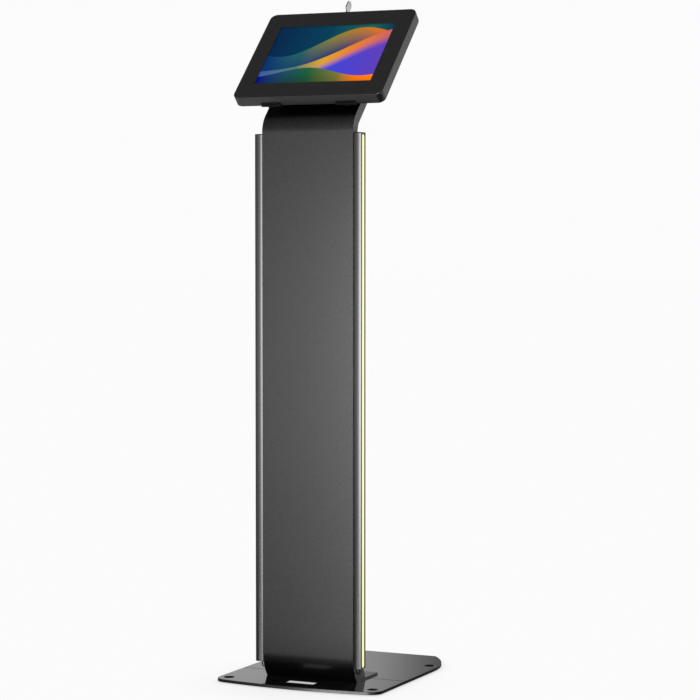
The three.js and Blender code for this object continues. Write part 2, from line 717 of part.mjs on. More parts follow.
function buildBackPlate() {
  const outlineShape = roundedRectangle(HEAD_WIDTH - 2, HEAD_HEIGHT - 3.2, HEAD_CORNER_RADIUS - 1);
  const plate = prismAlongZ(outlineShape, BACK_PLATE_REAR, BACK_PLATE_FRONT).translate(0, 0.6, 0);
  const bore = rodAlongZ(PIVOT_RADIUS + 0.1, BACK_PLATE_REAR - 1, BACK_PLATE_FRONT + 1);
  const notches = [-1, 1].map((s) => {
    const half = HINGE_LENGTH / 2 + 1;
    return block([s * HINGE_X - half, HINGE_Y - 6, -30], [s * HINGE_X + half, HINGE_Y + 3.4, 0]);
  });
  addPiece(head, "back_plate", cut(plate, bore, ...notches), POWDER_COAT);
  for (const [side, sx] of [["left", -1], ["right", 1]]) {
    for (const [end, sy] of [["lower", -1], ["upper", 1]]) {
      addPiece(head, `corner_clip_${end}_${side}`, cornerClip(sx, sy), RUBBER);
    }
  }
}

// ---- Tablet ----

const TABLET_RIM = 1.2;
const GLASS_THICKNESS = 0.6;
const POWER_X = -96;
const POWER_HALF_LENGTH = 6.5;
const POWER_HALF_HEIGHT = 1.4;

function powerButtonBlock(margin, low, high) {
  const topEdge = TABLET_HEIGHT / 2;
  const middle = TABLET_FRONT - TABLET_THICKNESS / 2;
  return block(
    [POWER_X - POWER_HALF_LENGTH - margin, topEdge + low, middle - POWER_HALF_HEIGHT - margin],
    [POWER_X + POWER_HALF_LENGTH + margin, topEdge + high, middle + POWER_HALF_HEIGHT + margin],
  );
}

// A plug at the tablet's right edge and its cable, which runs behind the tablet to the pivot tube.
function tabletLead() {
  const middle = TABLET_FRONT - TABLET_THICKNESS / 2;
  const edge = TABLET_WIDTH / 2;
  const run = middle - 9.6;
  const plug = block([edge + GAP, -5, middle - 3], [edge + 12, 5, middle + 3]);
  const cable = cableAlong(
    [
      [edge + 8, 0, middle - 1],
      [edge + 9, 0, middle - 7],
      [edge + 2, 0, run - 0.4],
      [edge - 12, 0, run],
      [60, 0, run],
      [24, 0, run],
      [10, 0, run],
      [5, 0, run - 1.8],
      [3.5, 0, run - 5.4],
    ],
    1.6,
  );
  return join(plug, cable);
}

function buildTablet() {
  const back = TABLET_FRONT - TABLET_THICKNESS;
  const floor = TABLET_FRONT - 1.8;
  const pocket = tabletPrism(-TABLET_RIM, floor, 1);
  const body = cut(tabletPrism(0, back, TABLET_FRONT), pocket, powerButtonBlock(GAP, -1.5, 1));
  addPiece(head, "tablet_body", body, ALUMINIUM);
  const glassBack = TABLET_FRONT - 0.1 - GLASS_THICKNESS;
  addPiece(head, "tablet_glass", tabletPrism(-TABLET_RIM - 0.2, glassBack, TABLET_FRONT - 0.1), GLASS);
  const panel = roundedRectangle(WINDOW_WIDTH + 5, WINDOW_HEIGHT + 5, 3);
  addPiece(head, "tablet_display", prismAlongZ(panel, floor + 0.1, glassBack - 0.1), DISPLAY);
  addPiece(head, "tablet_power_button", powerButtonBlock(0, -1, 0.4), ALUMINIUM);
  addPiece(head, "tablet_lead", tabletLead(), RUBBER);
}

// ---- Front cover, hinges and gasket ----

const KNUCKLE_ROOM = KNUCKLE_RADIUS + GAP;

function buildCover() {
  const inside = COVER_WALL;
  const shell = prismAlongZ(
    roundedRectangle(HEAD_WIDTH, HEAD_HEIGHT, HEAD_CORNER_RADIUS),
    -HEAD_DEPTH,
    0,
    12,
  );
  const hollow = prismAlongZ(
    roundedRectangle(HEAD_WIDTH - 2 * inside, HEAD_HEIGHT - 2 * inside, HEAD_CORNER_RADIUS - inside),
    -HEAD_DEPTH - 1,
    -inside,
    12,
  );
  const window = prismAlongZ(roundedRectangle(WINDOW_WIDTH, WINDOW_HEIGHT, 1), -5, 5, 2);
  const wallTop = HEAD_HEIGHT / 2;
  const lockHole = rodAlongY(LOCK_RADIUS + GAP, wallTop - 5, wallTop + 5, 0, LOCK_DEPTH);
  const hingeNotches = [-1, 1].map((s) => {
    const left = s * HINGE_X - HINGE_LENGTH / 2 - 1;
    const right = s * HINGE_X + HINGE_LENGTH / 2 + 1;
    return block([left, -wallTop - 5, -HEAD_DEPTH - 5], [right, -wallTop + 4, HINGE_DEPTH + KNUCKLE_ROOM]);
  });
  addPiece(head, "front_cover", cut(shell, hollow, window, lockHole, ...hingeNotches), SATIN_BLACK);
  const gasket = roundedRectangle(WINDOW_WIDTH + 16, WINDOW_HEIGHT + 16, 4);
  gasket.holes.push(roundedRectangle(WINDOW_WIDTH + 1, WINDOW_HEIGHT + 1, 1));
  addPiece(head, "window_gasket", prismAlongZ(gasket, TABLET_FRONT + 0.1, -inside - 0.1, 3), RUBBER);
}

function knuckle(left, right) {
  return rodAlongX(KNUCKLE_RADIUS, left, right, HINGE_Y, HINGE_DEPTH);
}

// The leaf lies on the outside of the cover's lower wall, with a knuckle at each end.
function hingeCoverLeaf(centre) {
  const end = HINGE_LENGTH / 2;
  const inner = -HEAD_HEIGHT / 2 - GAP;
  const outer = inner - HINGE_LEAF;
  const leafLow = HINGE_DEPTH + KNUCKLE_RADIUS + 0.5;
  const leaf = block([centre - end, outer, leafLow], [centre + end, inner, leafLow + 3.3]);
  const gapEdge = KNUCKLE_HALF_MIDDLE + GAP;
  const arms = [[-end, -gapEdge], [gapEdge, end]].flatMap(([left, right]) => [
    knuckle(centre + left, centre + right),
    block([centre + left, outer, HINGE_DEPTH], [centre + right, inner, leafLow + 1]),
  ]);
  return join(leaf, ...arms);
}

// The leaf lies on the back plate's rear face and reaches forwards to the middle knuckle.
function hingePlateLeaf(centre) {
  const end = HINGE_LENGTH / 2;
  const half = KNUCKLE_HALF_MIDDLE;
  const front = BACK_PLATE_REAR - GAP;
  const rear = front - HINGE_LEAF;
  return join(
    knuckle(centre - half, centre + half),
    block([centre - half, HINGE_Y - 1, rear], [centre + half, HINGE_Y + 1, HINGE_DEPTH]),
    block([centre - half, HINGE_Y - 1, rear], [centre + half, HINGE_Y + 6, front]),
    block([centre - end, HINGE_Y + 5, rear], [centre + end, HINGE_Y + 15, front]),
  );
}

function buildHinge(side, centre) {
  const end = HINGE_LENGTH / 2;
  const bore = rodAlongX(PIN_RADIUS + 0.05, centre - end - 1, centre + end + 1, HINGE_Y, HINGE_DEPTH);
  addPiece(head, `${side}_hinge_cover_leaf`, cut(hingeCoverLeaf(centre), bore), SATIN_BLACK);
  addPiece(head, `${side}_hinge_plate_leaf`, cut(hingePlateLeaf(centre), bore), SATIN_BLACK);
  const pin = rodAlongX(PIN_RADIUS, centre - end, centre + end, HINGE_Y, HINGE_DEPTH);
  addPiece(head, `${side}_hinge_pin`, pin, DARK_STEEL);
}

// ---- Lock ----

function standUp(geometry) {
  return geometry.rotateX(-Math.PI / 2).translate(0, 0, LOCK_DEPTH);
}

function keyway() {
  const halfThickness = KEYWAY_THICKNESS / 2;
  const halfWidth = KEYWAY_WIDTH / 2;
  return block(
    [-halfThickness, KEY_BLADE_END - 1.5, LOCK_DEPTH - halfWidth],
    [halfThickness, KEY_BOW_LOW, LOCK_DEPTH + halfWidth],
  );
}

// Drawn flat with x across the key and y along it, then turned so that its sides face left and right.
function keyGeometry() {
  const blade = KEY_BLADE_HALF;
  const bow = KEY_BOW_HALF;
  const bowFront = KEY_BOW_OFFSET + bow;
  const bowMiddle = KEY_BOW_HIGH - bow;
  const end = KEY_BLADE_END;
  const shape = new THREE.Shape();
  shape.moveTo(-blade, end);
  shape.lineTo(0.5, end);
  shape.lineTo(blade, end + 3);
  for (const [notch, depth] of [[5, 1.2], [10, 1]]) {
    shape.lineTo(blade - depth, end + notch);
    shape.lineTo(blade, end + notch + 2.5);
  }
  shape.lineTo(blade, KEY_BOW_LOW - 3);
  shape.lineTo(blade + 1.5, KEY_BOW_LOW);
  shape.lineTo(bowFront - 3, KEY_BOW_LOW);
  shape.quadraticCurveTo(bowFront, KEY_BOW_LOW, bowFront, KEY_BOW_LOW + 4);
  shape.absarc(KEY_BOW_OFFSET, bowMiddle, bow, 0, Math.PI);
  shape.lineTo(-blade, KEY_BOW_LOW - 3);
  const ringHole = new THREE.Path().absarc(KEY_BOW_OFFSET, bowMiddle + 3.9, 1.9, 0, 2 * Math.PI);
  shape.holes.push(ringHole);
  const options = { depth: KEY_THICKNESS, bevelEnabled: false, curveSegments: 8 };
  const flat = new THREE.ExtrudeGeometry(shape, options).translate(0, 0, -KEY_THICKNESS / 2);
  return flat.rotateY(-Math.PI / 2).translate(0, 0, LOCK_DEPTH);
}

function buildLock() {
  const wallTop = HEAD_HEIGHT / 2;
  const barrel = turned([
    [PLUG_RADIUS + 0.15, LOCK_END_Y],
    [LOCK_RADIUS, LOCK_END_Y],
    [LOCK_RADIUS, wallTop + GAP],
    [LOCK_RADIUS + 2.3, wallTop + GAP],
    [LOCK_RADIUS + 1.6, wallTop + 2],
    [PLUG_RADIUS + 0.15, wallTop + 2],
    [PLUG_RADIUS + 0.15, LOCK_END_Y],
  ]);
  addPiece(head, "lock_barrel", standUp(barrel), STEEL);
  const nutTop = wallTop - COVER_WALL - GAP;
  const nut = cut(
    rodAlongZ(9.2, nutTop - 3, nutTop, 0, 0, 6).rotateZ(Math.PI / 6),
    rodAlongZ(LOCK_RADIUS + 0.1, nutTop - 4, nutTop + 1),
  );
  addPiece(head, "lock_nut", standUp(nut), STEEL);
  const camTop = LOCK_END_Y - 2 * GAP;
  const studEnd = camTop - CAM_THICKNESS - 0.8;
  const plug = turned([
    [0, studEnd],
    [CAM_STUD_RADIUS, studEnd],
    [CAM_STUD_RADIUS, LOCK_END_Y - GAP],
    [PLUG_RADIUS, LOCK_END_Y - GAP],
    [PLUG_RADIUS, wallTop + 1.4],
    [0, wallTop + 1.4],
  ]);
  addPiece(head, "lock_plug", cut(standUp(plug), keyway()), STEEL);
  const camBottom = camTop - CAM_THICKNESS;
  const arm = block(
    [-CAM_HALF_WIDTH, camBottom, LOCK_DEPTH - CAM_REACH],
    [CAM_HALF_WIDTH, camTop, LOCK_DEPTH],
  );
  const cam = cut(
    join(rodAlongY(4, camBottom, camTop, 0, LOCK_DEPTH), arm),
    rodAlongY(CAM_STUD_RADIUS + 0.1, camBottom - 1, camTop + 1, 0, LOCK_DEPTH),
  );
  addPiece(head, "lock_cam", cam, STEEL);
  addPiece(head, "key", keyGeometry(), STEEL);
}

// A hook that stands on the back plate: the locked cam lies under its lip, and the leg stays
// outside the circle that the cam's corners sweep.
function buildKeeper() {
  const thickness = 1.5;
  const top = LOCK_END_Y - 1.2;
  const bottom = top - 5.4;
  const floor = BACK_PLATE_FRONT + GAP;
  const legLeft = Math.hypot(CAM_REACH, CAM_HALF_WIDTH) + GAP;
  const legRight = legLeft + thickness;
  const lipBack = LOCK_DEPTH + CAM_HALF_WIDTH + GAP;
  const lipFront = lipBack + thickness;
  const leg = block([legLeft, bottom, floor], [legRight, top, lipFront]);
  const lip = block([CAM_REACH - 4, bottom, lipBack], [legRight, top, lipFront]);
  const foot = block([legLeft, bottom, floor], [legRight + 12, top, floor + thickness]);
  addPiece(head, "lock_keeper", join(leg, lip, foot), STEEL);
}

buildBase();
buildFoot();
buildColumn();
buildRearCover();
buildRails();
buildWiring();
buildSwivel();
buildBackPlate();
buildTablet();
buildCover();
buildHinge("left", -HINGE_X);
buildHinge("right", HINGE_X);
buildLock();
buildKeeper();

export default kiosk;
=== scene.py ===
"""A floor-standing touchscreen kiosk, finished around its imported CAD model.

Every CAD node is shown as a finer copy of itself, with rounded edges and smooth bends, and every
surface has a procedural material. Metres throughout; the kiosk faces -Y.
"""

import json
import math

import bmesh
import bpy
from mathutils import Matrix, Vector


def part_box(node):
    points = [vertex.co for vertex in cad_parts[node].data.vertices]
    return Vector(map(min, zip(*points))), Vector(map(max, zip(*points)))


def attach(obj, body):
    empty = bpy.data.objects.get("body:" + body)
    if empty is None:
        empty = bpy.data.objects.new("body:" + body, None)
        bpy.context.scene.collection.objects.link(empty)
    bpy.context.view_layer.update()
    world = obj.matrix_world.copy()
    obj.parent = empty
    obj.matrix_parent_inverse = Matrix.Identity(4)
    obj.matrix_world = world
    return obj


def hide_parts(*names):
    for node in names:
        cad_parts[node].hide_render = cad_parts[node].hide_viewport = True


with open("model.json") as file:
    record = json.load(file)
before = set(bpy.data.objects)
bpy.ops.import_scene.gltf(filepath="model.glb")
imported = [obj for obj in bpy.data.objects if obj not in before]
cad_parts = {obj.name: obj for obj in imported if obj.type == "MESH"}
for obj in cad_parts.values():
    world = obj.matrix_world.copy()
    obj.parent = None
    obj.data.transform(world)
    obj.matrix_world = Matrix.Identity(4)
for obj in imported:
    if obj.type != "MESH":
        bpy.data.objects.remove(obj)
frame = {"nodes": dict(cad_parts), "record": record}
NODES = frame["nodes"]
BODIES = frame["record"]["behaviour"]["bodies"]
BODY_OF = {node: body for body, nodes in BODIES.items() for node in nodes}
SLOT_OF = {part["node"]: part["material_slot"] for part in frame["record"]["subparts"]}
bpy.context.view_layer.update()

MM = 0.001


def middle(node):
    """The centre of a node's box."""
    low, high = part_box(node)
    return (Vector(low) + Vector(high)) / 2


# ---- The head's own directions ----

HEAD_JOINT = next(j for j in frame["record"]["behaviour"]["joints"] if j["name"] == "head_turn")
OUT_OF_FACE = Vector(HEAD_JOINT["axis"]).normalized()
ACROSS = Vector((1, 0, 0))
UP_FACE = OUT_OF_FACE.cross(ACROSS)
SCREEN_CENTRE = middle("tablet_display")


# ---- Node helpers ----

class Graph:
    """A node tree, by default a new material's, with short ways to add and join nodes."""

    def __init__(self, name, tree=None, output="ShaderNodeOutputMaterial"):
        if tree is None:
            self.material = bpy.data.materials.new(name)
            self.material.use_nodes = True
            tree = self.material.node_tree
        self.tree = tree
        tree.nodes.clear()
        self.output = self.add(output)

    def add(self, kind, **settings):
        node = self.tree.nodes.new(kind)
        for key, value in settings.items():
            setattr(node, key, value)
        return node

    def link(self, source, target):
        self.tree.links.new(source, target)

    def feed(self, target, value):
        """Sets an input to a number, a colour or another node's output."""
        if isinstance(value, bpy.types.NodeSocket):
            self.link(value, target)
        elif isinstance(value, (tuple, list)) and len(value) == 3 and target.type == "RGBA":
            target.default_value = (*value, 1)
        else:
            target.default_value = value

    def math(self, operation, a, b=0.0, c=0.0, clamp=False):
        node = self.add("ShaderNodeMath", operation=operation, use_clamp=clamp)
        for socket, value in zip(node.inputs, (a, b, c)):
            self.feed(socket, value)
        return node.outputs[0]

    def position(self):
        return self.add("ShaderNodeTexCoord").outputs["Object"]

    def axis(self, vector, direction, origin=(0, 0, 0)):
        """Distance of a point from origin along a direction."""
        away = self.add("ShaderNodeVectorMath", operation="SUBTRACT")
        self.feed(away.inputs[0], vector)
        away.inputs[1].default_value = origin
        along = self.add("ShaderNodeVectorMath", operation="DOT_PRODUCT")
        self.link(away.outputs[0], along.inputs[0])
        along.inputs[1].default_value = direction
        return along.outputs["Value"]

    def stretched(self, vector, scale):
        node = self.add("ShaderNodeVectorMath", operation="MULTIPLY")
        self.feed(node.inputs[0], vector)
        node.inputs[1].default_value = scale
        return node.outputs[0]

    def noise(self, vector, scale, detail=3.0, roughness=0.5):
        node = self.add("ShaderNodeTexNoise")
        self.feed(node.inputs["Vector"], vector)
        node.inputs["Scale"].default_value = scale
        node.inputs["Detail"].default_value = detail
        node.inputs["Roughness"].default_value = roughness
        return node.outputs["Fac"]

    def remap(self, value, low, high, to_low, to_high, smooth=False):
        node = self.add("ShaderNodeMapRange", interpolation_type="SMOOTHSTEP" if smooth else "LINEAR")
        for socket, item in zip(node.inputs, (value, low, high, to_low, to_high)):
            self.feed(socket, item)
        return node.outputs[0]

    def mix(self, factor, first, second):
        node = self.add("ShaderNodeMix", data_type="RGBA")
        self.feed(node.inputs[0], factor)
        self.feed(node.inputs[6], first)
        self.feed(node.inputs[7], second)
        return node.outputs[2]

    def scaled_colour(self, colour, amount):
        """A colour made lighter or darker."""
        node = self.add("ShaderNodeVectorMath", operation="SCALE")
        self.feed(node.inputs[0], colour)
        self.feed(node.inputs["Scale"], amount)
        return node.outputs[0]

    def ramp(self, factor, stops):
        node = self.add("ShaderNodeValToRGB")
        self.feed(node.inputs[0], factor)
        elements = node.color_ramp.elements
        while len(elements) < len(stops):
            elements.new(0.5)
        for element, (place, colour) in zip(elements, stops):
            element.position = place
            element.color = (*colour, 1)
        return node.outputs[0]

    def bump(self, height, distance, strength=1.0, normal=None):
        node = self.add("ShaderNodeBump")
        node.inputs["Strength"].default_value = strength
        node.inputs["Distance"].default_value = distance
        self.feed(node.inputs["Height"], height)
        if normal is not None:
            self.link(normal, node.inputs["Normal"])
        return node.outputs[0]

    def edges(self, radius):
        """Near 1 on sharp edges, 0 on flat faces."""
        bevel = self.add("ShaderNodeBevel", samples=4)
        bevel.inputs["Radius"].default_value = radius
        plain = self.add("ShaderNodeNewGeometry").outputs["Normal"]
        dot = self.add("ShaderNodeVectorMath", operation="DOT_PRODUCT")
        self.link(bevel.outputs[0], dot.inputs[0])
        self.link(plain, dot.inputs[1])
        return self.remap(dot.outputs["Value"], 1.0, 0.8, 0.0, 1.0)

    def surface(self, **inputs):
        """Ends the material in a Principled shader with these inputs."""
        shader = self.add("ShaderNodeBsdfPrincipled")
        for key, value in inputs.items():
            self.feed(shader.inputs[key.replace("_", " ")], value)
        self.link(shader.outputs[0], self.output.inputs["Surface"])
        return self.material


# ---- Materials ----

# How far the powder coat's painted shade reaches from nearby pieces.
PAINTED_SHADE_REACH = 90 * MM


def powder_coat():
    """Charcoal powder coat: a fine even grain over a satin sheen, darkened by painted shade where
    pieces are close.
    """
    g = Graph("powder_coat")
    at = g.position()
    grain = g.noise(at, 850, 1, 0.5)
    blotch = g.noise(at, 9, 2)
    tone = g.math("ADD", g.math("MULTIPLY", grain, 0.85), g.math("MULTIPLY", blotch, 0.15))
    colour = g.ramp(tone, [(0.3, (0.0165, 0.0165, 0.0167)), (0.7, (0.0215, 0.0215, 0.0219))])
    worn = g.math("MULTIPLY", g.edges(0.6 * MM), 0.15)
    coat = g.mix(worn, colour, (0.12, 0.12, 0.124))
    # Painted shade: ambient occlusion darkens the coat's colour near other pieces, such as at the
    # column's foot by the base.
    crevice_shade_ao = g.add("ShaderNodeAmbientOcclusion", samples=8)
    crevice_shade_ao.inputs["Distance"].default_value = PAINTED_SHADE_REACH
    painted_shade_factor = g.remap(crevice_shade_ao.outputs["AO"], 0.63, 0.98, 0.12, 1.0)
    return g.surface(
        Base_Color=g.scaled_colour(coat, painted_shade_factor),
        Roughness=g.remap(grain, 0.3, 0.7, 0.27, 0.29),
        Specular_IOR_Level=0.5,
        Normal=g.bump(grain, 0.05 * MM, 0.03),
    )


def satin_black():
    """The head's cover: a smoother coat with a stronger sheen."""
    g = Graph("satin_black")
    at = g.position()
    grain = g.noise(at, 700, 3, 0.65)
    colour = g.ramp(grain, [(0.3, (0.021, 0.021, 0.0212)), (0.7, (0.03, 0.03, 0.0303))])
    worn = g.math("MULTIPLY", g.edges(0.5 * MM), 0.2)
    return g.surface(
        Base_Color=g.mix(worn, colour, (0.1, 0.1, 0.1)),
        Roughness=g.remap(grain, 0.3, 0.7, 0.27, 0.36),
        Specular_IOR_Level=0.9,
        Normal=g.bump(grain, 0.05 * MM, 0.15),
    )


def hinge_black():
    """The hinge leaves: cast, with a flatter and deeper black than the cover."""
    g = Graph("hinge_black")
    at = g.position()
    pores = g.noise(at, 1100, 3, 0.6)
    return g.surface(
        Base_Color=g.ramp(pores, [(0.3, (0.005, 0.005, 0.005)), (0.7, (0.011, 0.011, 0.011))]),
        Roughness=g.remap(pores, 0.3, 0.7, 0.42, 0.56),
        Specular_IOR_Level=0.35,
        Normal=g.bump(pores, 0.05 * MM, 0.3),
    )


BAR_HALF_WIDTH = 26 * MM
BAR_HALF_DEPTH = 8 * MM
BAR_FROM_FRONT = 43 * MM


def gloss_black():
    """The base: lacquered steel with faint orange peel, dust-fine scratches and a plain printed bar,
    which also glows faintly as painted light to keep it white.
    """
    g = Graph("gloss_black")
    at = g.position()
    peel = g.noise(at, 160, 2)
    scratches = g.noise(g.stretched(at, (40, 900, 40)), 1.0, 4, 0.7)
    smears = g.noise(at, 6, 3)
    rough = g.math(
        "ADD",
        g.remap(smears, 0.35, 0.7, 0.08, 0.12),
        g.remap(scratches, 0.62, 0.8, 0.0, 0.06),
    )
    low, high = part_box("base_front_plate")
    across = g.axis(at, (1, 0, 0))
    back = g.axis(at, (0, 1, 0), (0, low[1] + BAR_FROM_FRONT, 0))
    up = g.axis(at, (0, 0, 1))
    inside_x = g.math("LESS_THAN", g.math("ABSOLUTE", across), BAR_HALF_WIDTH)
    inside_y = g.math("LESS_THAN", g.math("ABSOLUTE", back), BAR_HALF_DEPTH)
    on_top = g.math("GREATER_THAN", up, high[2] - 0.2 * MM)
    bar = g.math("MULTIPLY", g.math("MULTIPLY", inside_x, inside_y), on_top)
    worn = g.math("MULTIPLY", g.edges(0.5 * MM), 0.3)
    black = g.mix(worn, (0.009, 0.009, 0.0095), (0.09, 0.09, 0.09))
    return g.surface(
        Base_Color=g.mix(bar, black, (0.85, 0.85, 0.84)),
        # Painted light: the printed bar glows faintly so that it stays white.
        Emission_Color=(1.0, 1.0, 0.98),
        Emission_Strength=g.math("MULTIPLY", bar, 0.35),
        Roughness=rough,
        Specular_IOR_Level=0.5,
        Normal=g.bump(peel, 0.1 * MM, 0.06),
    )


def anodised():
    """Rail extrusions: dark anodised aluminium with die lines along their length."""
    g = Graph("anodised")
    at = g.position()
    lines = g.noise(g.stretched(at, (2600, 2600, 3)), 1.0, 3, 0.6)
    colour = g.ramp(lines, [(0.3, (0.074, 0.074, 0.075)), (0.7, (0.087, 0.087, 0.089))])
    return g.surface(
        Base_Color=colour,
        Metallic=1.0,
        Roughness=g.remap(lines, 0.3, 0.7, 0.22, 0.26),
        Normal=g.bump(lines, 0.02 * MM, 0.06),
    )


def dark_cap():
    """Moulded black plastic with a spark-eroded texture."""
    g = Graph("dark_cap")
    at = g.position()
    texture = g.noise(at, 900, 3, 0.65)
    return g.surface(
        Base_Color=g.ramp(texture, [(0.3, (0.007, 0.007, 0.007)), (0.7, (0.017, 0.017, 0.017))]),
        Roughness=g.remap(texture, 0.3, 0.7, 0.45, 0.65),
        Normal=g.bump(texture, 0.08 * MM, 0.4),
    )


def rubber():
    """Matt rubber and cable sheath."""
    g = Graph("rubber")
    at = g.position()
    bloom = g.noise(at, 300, 4, 0.6)
    return g.surface(
        Base_Color=g.ramp(bloom, [(0.3, (0.003, 0.003, 0.003)), (0.75, (0.008, 0.008, 0.008))]),
        Roughness=g.remap(bloom, 0.3, 0.7, 0.65, 0.85),
        Specular_IOR_Level=0.1,
        Normal=g.bump(bloom, 0.06 * MM, 0.3),
    )


def light():
    """The lit diffuser: pale yellow, brightest along its middle."""
    g = Graph("light")
    at = g.position()
    low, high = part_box("right_diffuser")
    half = (high[1] - low[1]) / 2
    off = g.math("ABSOLUTE", g.axis(at, (0, 1, 0), (0, (low[1] + high[1]) / 2, 0)))
    glow = g.remap(off, 0.35 * half, half, 1.0, 0.86, smooth=True)
    frost = g.noise(at, 700, 2)
    glow = g.math("MULTIPLY", glow, g.remap(frost, 0.3, 0.7, 0.985, 1.015))
    colour = g.ramp(glow, [(0.84, (0.87, 0.86, 0.36)), (1.0, (1.0, 1.0, 0.53))])
    return g.surface(
        Base_Color=(0.05, 0.05, 0.04),
        Roughness=0.45,
        Emission_Color=colour,
        Emission_Strength=1.0,
    )


LAMP_PITCH = 16 * MM
LAMP_HALF_LENGTH = 2.2 * MM
LAMP_HALF_WIDTH = 1.8 * MM


def circuit():
    """The light strip: a pale circuit board with evenly spaced lamps."""
    g = Graph("circuit")
    at = g.position()
    along = g.math("PINGPONG", g.axis(at, (0, 0, 1)), LAMP_PITCH / 2)
    across = g.math("ABSOLUTE", g.axis(at, (0, 1, 0), (0, middle("right_light_strip").y, 0)))
    near_z = g.math("LESS_THAN", along, LAMP_HALF_LENGTH)
    near_y = g.math("LESS_THAN", across, LAMP_HALF_WIDTH)
    lamp = g.math("MULTIPLY", near_z, near_y)
    speckle = g.noise(at, 500, 3)
    board = g.ramp(speckle, [(0.3, (0.72, 0.7, 0.62)), (0.7, (0.86, 0.84, 0.76))])
    return g.surface(
        Base_Color=g.mix(lamp, board, (0.95, 0.8, 0.3)),
        Roughness=0.5,
        Emission_Color=(1.0, 0.95, 0.6),
        Emission_Strength=g.math("MULTIPLY", lamp, 1.5),
    )


def metal(name, dark, bright, low_rough, high_rough):
    """Plated or blackened steel with fine random brushing and bright, worn edges."""
    g = Graph(name)
    at = g.position()
    brushing = g.noise(g.stretched(at, (3000, 200, 200)), 1.0, 3, 0.6)
    smudge = g.noise(at, 60, 3)
    worn = g.math("MULTIPLY", g.edges(0.3 * MM), 0.35)
    rough = g.math(
        "ADD",
        g.remap(brushing, 0.3, 0.7, low_rough, high_rough),
        g.remap(smudge, 0.4, 0.7, 0.0, 0.08),
    )
    lifted = tuple(min(1.0, 1.5 * c + 0.05) for c in bright)
    return g.surface(
        Base_Color=g.mix(worn, g.ramp(brushing, [(0.3, dark), (0.7, bright)]), lifted),
        Metallic=1.0,
        Roughness=rough,
        Normal=g.bump(brushing, 0.02 * MM, 0.3),
    )


def steel():
    return metal("steel", (0.72, 0.72, 0.73), (0.88, 0.88, 0.89), 0.24, 0.36)


def dark_steel():
    return metal("dark_steel", (0.035, 0.035, 0.038), (0.06, 0.06, 0.064), 0.3, 0.45)


def tablet_shell():
    """Bead-blasted aluminium."""
    g = Graph("tablet_shell")
    at = g.position()
    blast = g.noise(at, 2500, 2, 0.6)
    return g.surface(
        Base_Color=g.ramp(blast, [(0.3, (0.36, 0.37, 0.39)), (0.7, (0.46, 0.47, 0.49))]),
        Metallic=1.0,
        Roughness=g.remap(blast, 0.3, 0.7, 0.34, 0.46),
        Normal=g.bump(blast, 0.02 * MM, 0.4),
    )


DISPLAY_MARGIN = 0.5 * MM  # how far the black print reaches over the display's edge


def tablet_glass():
    """Clear glass over the display and black print on its border, with faint finger smears."""
    g = Graph("tablet_glass")
    at = g.position()
    low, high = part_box("tablet_display")
    half_across = (high[0] - low[0]) / 2 - DISPLAY_MARGIN
    half_up = abs((Vector(high) - Vector(low)).dot(UP_FACE)) / 2 - DISPLAY_MARGIN
    u = g.math("ABSOLUTE", g.axis(at, ACROSS, SCREEN_CENTRE))
    v = g.math("ABSOLUTE", g.axis(at, UP_FACE, SCREEN_CENTRE))
    clear = g.math("MULTIPLY", g.math("LESS_THAN", u, half_across), g.math("LESS_THAN", v, half_up))
    smears = g.noise(g.stretched(at, (1, 3, 3)), 25, 4, 0.6)
    gloss = g.add("ShaderNodeBsdfGlossy")
    g.feed(gloss.inputs["Roughness"], g.remap(smears, 0.45, 0.7, 0.03, 0.16))
    see = g.add("ShaderNodeBsdfTransparent")
    fresnel = g.add("ShaderNodeFresnel")
    fresnel.inputs["IOR"].default_value = 1.3
    inward = g.add("ShaderNodeNewGeometry").outputs["Backfacing"]
    window = g.add("ShaderNodeMixShader")
    g.link(g.math("MULTIPLY", fresnel.outputs[0], g.math("SUBTRACT", 1.0, inward)), window.inputs[0])
    g.link(see.outputs[0], window.inputs[1])
    g.link(gloss.outputs[0], window.inputs[2])
    border = g.add("ShaderNodeBsdfPrincipled")
    border.inputs["Base Color"].default_value = (0.004, 0.004, 0.004, 1)
    border.inputs["Roughness"].default_value = 0.1
    choose = g.add("ShaderNodeMixShader")
    g.link(clear, choose.inputs[0])
    g.link(border.outputs[0], choose.inputs[1])
    g.link(window.outputs[0], choose.inputs[2])
    g.link(choose.outputs[0], g.output.inputs["Surface"])
    return g.material


# The display's colours, each list from the screen's left side to its right.
SKY_COLOURS = [
    (0.0, (0.0, 0.018, 0.075)),
    (0.45, (0.0, 0.05, 0.1)),
    (0.8, (0.01, 0.12, 0.1)),
    (1.0, (0.0, 0.03, 0.09)),
]
FAR_WAVE_COLOURS = [
    (0.0, (0.0, 0.03, 0.16)),
    (0.3, (0.02, 0.13, 0.12)),
    (0.55, (0.3, 0.24, 0.02)),
    (1.0, (0.95, 0.16, 0.0)),
]
WARM_WAVE_COLOURS = [
    (0.0, (0.05, 0.1, 0.35)),
    (0.3, (0.1, 0.22, 0.14)),
    (0.5, (0.75, 0.38, 0.02)),
    (0.72, (0.85, 0.22, 0.03)),
    (1.0, (0.6, 0.12, 0.12)),
]
COOL_WAVE_COLOURS = [
    (0.0, (0.01, 0.04, 0.4)),
    (0.5, (0.03, 0.06, 0.75)),
    (1.0, (0.12, 0.05, 0.5)),
]
LOW_WAVE_COLOURS = [
    (0.0, (0.0, 0.0, 0.17)),
    (0.22, (0.01, 0.06, 0.1)),
    (0.42, (0.01, 0.11, 0.04)),
    (0.68, (0.16, 0.16, 0.03)),
    (0.84, (0.85, 0.16, 0.0)),
    (1.0, (0.9, 0.2, 0.0)),
]


